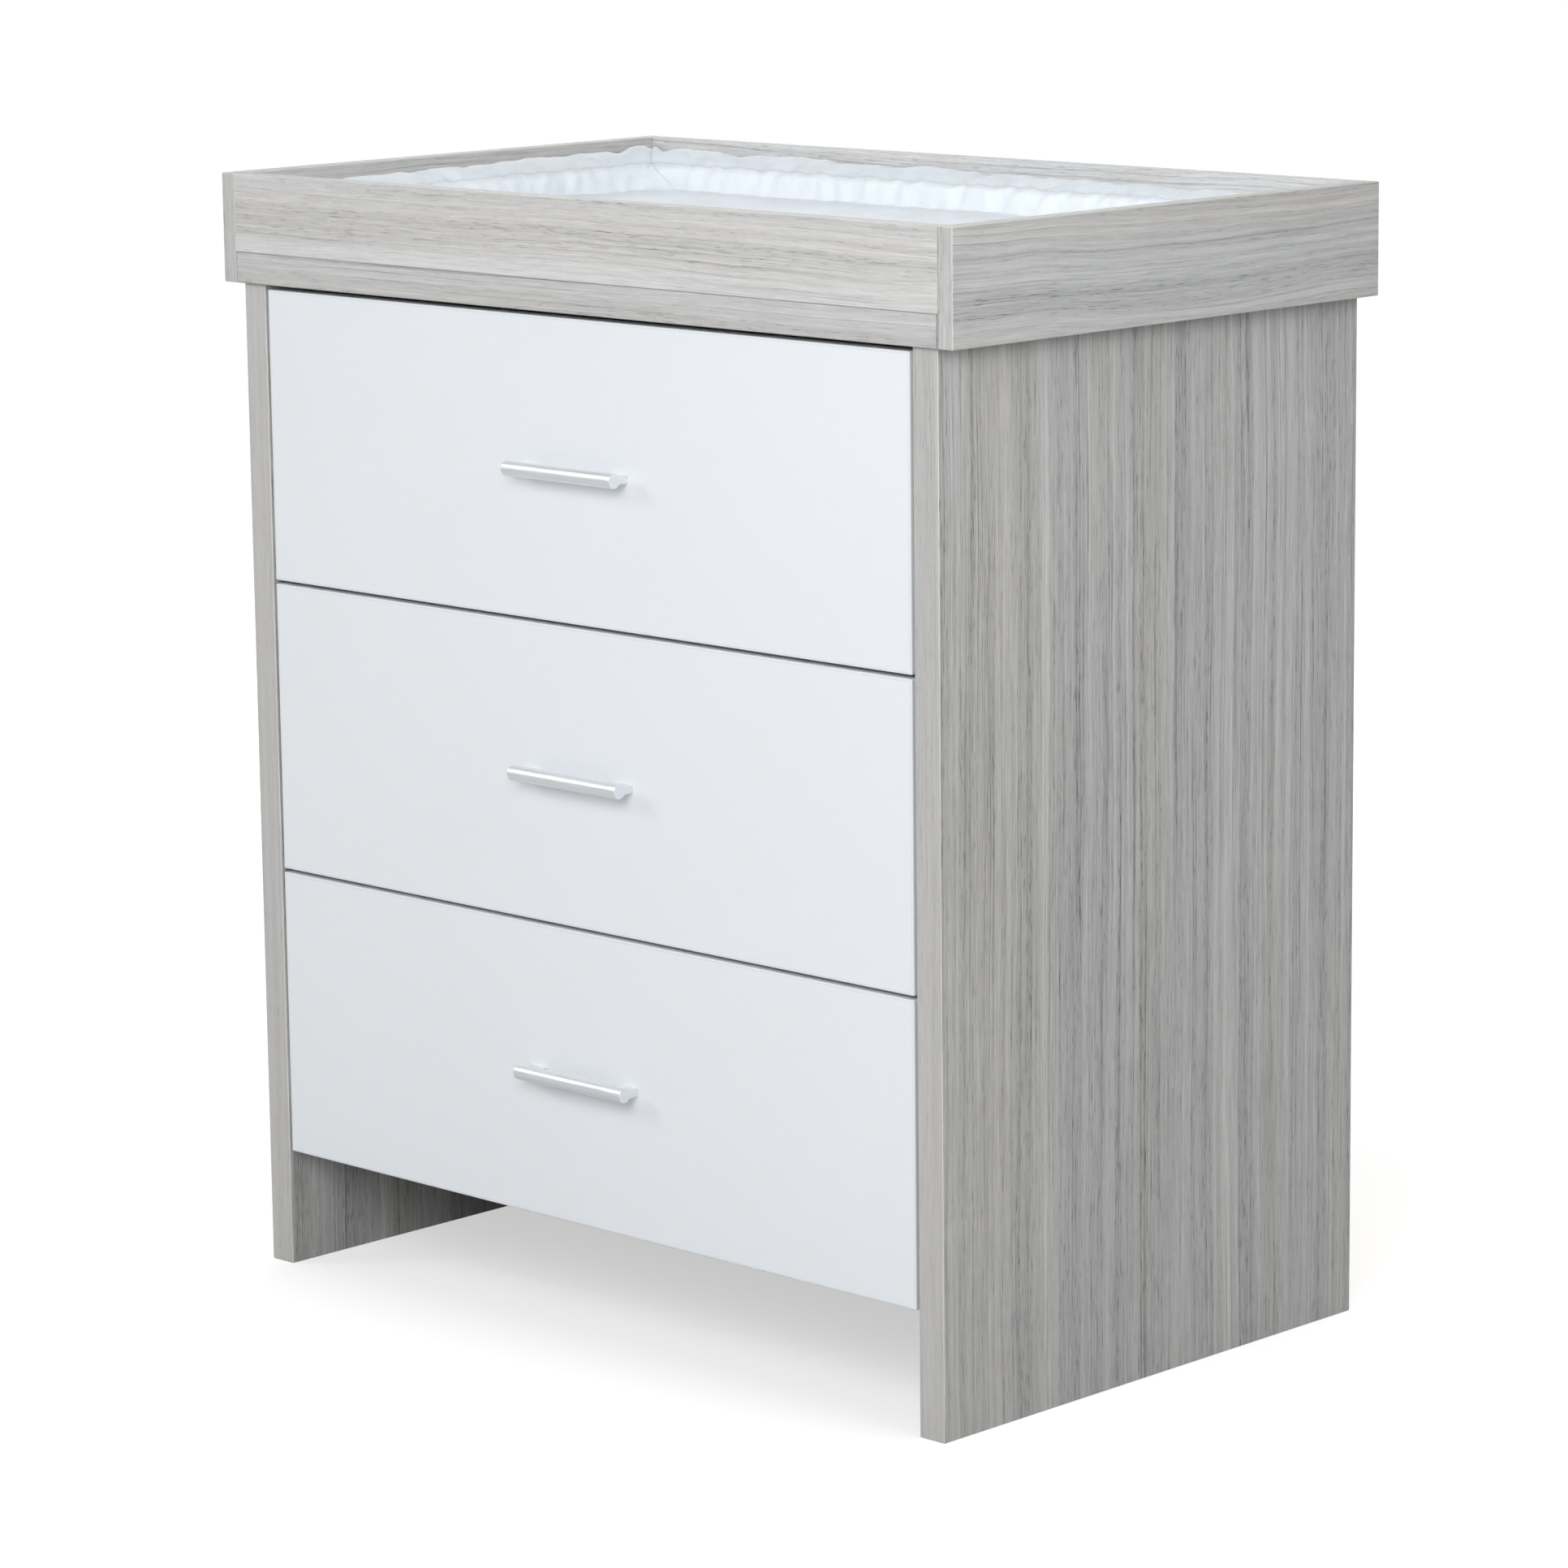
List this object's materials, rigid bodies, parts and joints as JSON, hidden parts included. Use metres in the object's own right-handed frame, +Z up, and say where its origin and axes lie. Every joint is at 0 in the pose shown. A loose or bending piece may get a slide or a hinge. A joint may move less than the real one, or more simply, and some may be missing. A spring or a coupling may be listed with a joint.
{
  "type": "changing table",
  "caption": "Chest of drawers with a lift-off tray on top that holds a padded changing mat with raised sides; the drawers run out on ball runners.",
  "frame": {"origin": "on the floor, under the middle of the overall width and the overall depth, handles included", "axes": "+Z up; the drawers open towards -Y; +X is the right-hand side seen from the front"},
  "size_m": [0.8, 0.5, 0.903],
  "materials": {
    "oak_laminate": "matt grey oak laminate",
    "white_front": "satin white laminate",
    "drawer_board": "matt white foil",
    "drawer_sheet": "matt white hardboard",
    "hardboard": "matt white hardboard",
    "beech": "raw beech",
    "satin_aluminium": "satin anodised",
    "zinc_steel": "bright zinc plate",
    "die_cast_zinc": "cast zinc",
    "runner_steel": "bright zinc plate",
    "ball_steel": "polished and plated steel",
    "mat_cover": "wipe-clean coated cloth over soft filling"
  },
  "bodies": {
    "carcass": {"side_panel_left": "oak_laminate", "side_panel_right": "oak_laminate", "top_panel": "oak_laminate", "base_panel": "oak_laminate", "back_panel": "hardboard", "back_panel_pins": "zinc_steel", "carcass_cam_bolts": "zinc_steel", "carcass_cam_locks": "die_cast_zinc", "carcass_dowels": "beech", "outer_runners_left": "runner_steel", "outer_runners_right": "runner_steel", "outer_runner_screws": "zinc_steel"},
    "drawer_top": {"drawer_top_front": "white_front", "drawer_top_side_left": "drawer_board", "drawer_top_side_right": "drawer_board", "drawer_top_back": "drawer_board", "drawer_top_bottom": "drawer_sheet", "drawer_top_cam_bolts": "zinc_steel", "drawer_top_cam_locks": "die_cast_zinc", "handle_top": "satin_aluminium", "handle_top_screws": "zinc_steel", "drawer_top_runner_left": "runner_steel", "drawer_top_runner_right": "runner_steel", "drawer_top_runner_screws": "zinc_steel"},
    "drawer_top_cages": {"drawer_top_ball_cages": "ball_steel"},
    "drawer_middle": {"drawer_middle_front": "white_front", "drawer_middle_side_left": "drawer_board", "drawer_middle_side_right": "drawer_board", "drawer_middle_back": "drawer_board", "drawer_middle_bottom": "drawer_sheet", "drawer_middle_cam_bolts": "zinc_steel", "drawer_middle_cam_locks": "die_cast_zinc", "handle_middle": "satin_aluminium", "handle_middle_screws": "zinc_steel", "drawer_middle_runner_left": "runner_steel", "drawer_middle_runner_right": "runner_steel", "drawer_middle_runner_screws": "zinc_steel"},
    "drawer_middle_cages": {"drawer_middle_ball_cages": "ball_steel"},
    "drawer_bottom": {"drawer_bottom_front": "white_front", "drawer_bottom_side_left": "drawer_board", "drawer_bottom_side_right": "drawer_board", "drawer_bottom_back": "drawer_board", "drawer_bottom_bottom": "drawer_sheet", "drawer_bottom_cam_bolts": "zinc_steel", "drawer_bottom_cam_locks": "die_cast_zinc", "handle_bottom": "satin_aluminium", "handle_bottom_screws": "zinc_steel", "drawer_bottom_runner_left": "runner_steel", "drawer_bottom_runner_right": "runner_steel", "drawer_bottom_runner_screws": "zinc_steel"},
    "drawer_bottom_cages": {"drawer_bottom_ball_cages": "ball_steel"},
    "changing_tray": {"tray_board_left": "oak_laminate", "tray_board_right": "oak_laminate", "tray_board_front": "oak_laminate", "tray_board_back": "oak_laminate", "tray_cam_bolts": "zinc_steel", "tray_cam_locks": "die_cast_zinc", "tray_dowels": "beech"},
    "changing_mat": {"changing_mat": "mat_cover"}
  },
  "joints": [
    {"name": "drawer_top_slide", "type": "slide", "parent": "carcass", "child": "drawer_top", "axis": [0, -1, 0], "range_m": [0, 0.29]},
    {"name": "drawer_top_cages_roll", "type": "slide", "parent": "carcass", "child": "drawer_top_cages", "axis": [0, -1, 0], "range_m": [0, 0.145]},
    {"name": "drawer_middle_slide", "type": "slide", "parent": "carcass", "child": "drawer_middle", "axis": [0, -1, 0], "range_m": [0, 0.29]},
    {"name": "drawer_middle_cages_roll", "type": "slide", "parent": "carcass", "child": "drawer_middle_cages", "axis": [0, -1, 0], "range_m": [0, 0.145]},
    {"name": "drawer_bottom_slide", "type": "slide", "parent": "carcass", "child": "drawer_bottom", "axis": [0, -1, 0], "range_m": [0, 0.29]},
    {"name": "drawer_bottom_cages_roll", "type": "slide", "parent": "carcass", "child": "drawer_bottom_cages", "axis": [0, -1, 0], "range_m": [0, 0.145]},
    {"name": "tray_lift", "type": "slide", "parent": "carcass", "child": "changing_tray", "axis": [0, 0, 1], "range_m": [0, 0.15]},
    {"name": "mat_lift", "type": "slide", "parent": "carcass", "child": "changing_mat", "axis": [0, 0, 1], "range_m": [0, 0.15]}
  ],
  "couplings": [
    {"joint": "drawer_top_cages_roll", "follows": "drawer_top_slide", "ratio": 0.5},
    {"joint": "drawer_middle_cages_roll", "follows": "drawer_middle_slide", "ratio": 0.5},
    {"joint": "drawer_bottom_cages_roll", "follows": "drawer_bottom_slide", "ratio": 0.5}
  ]
}
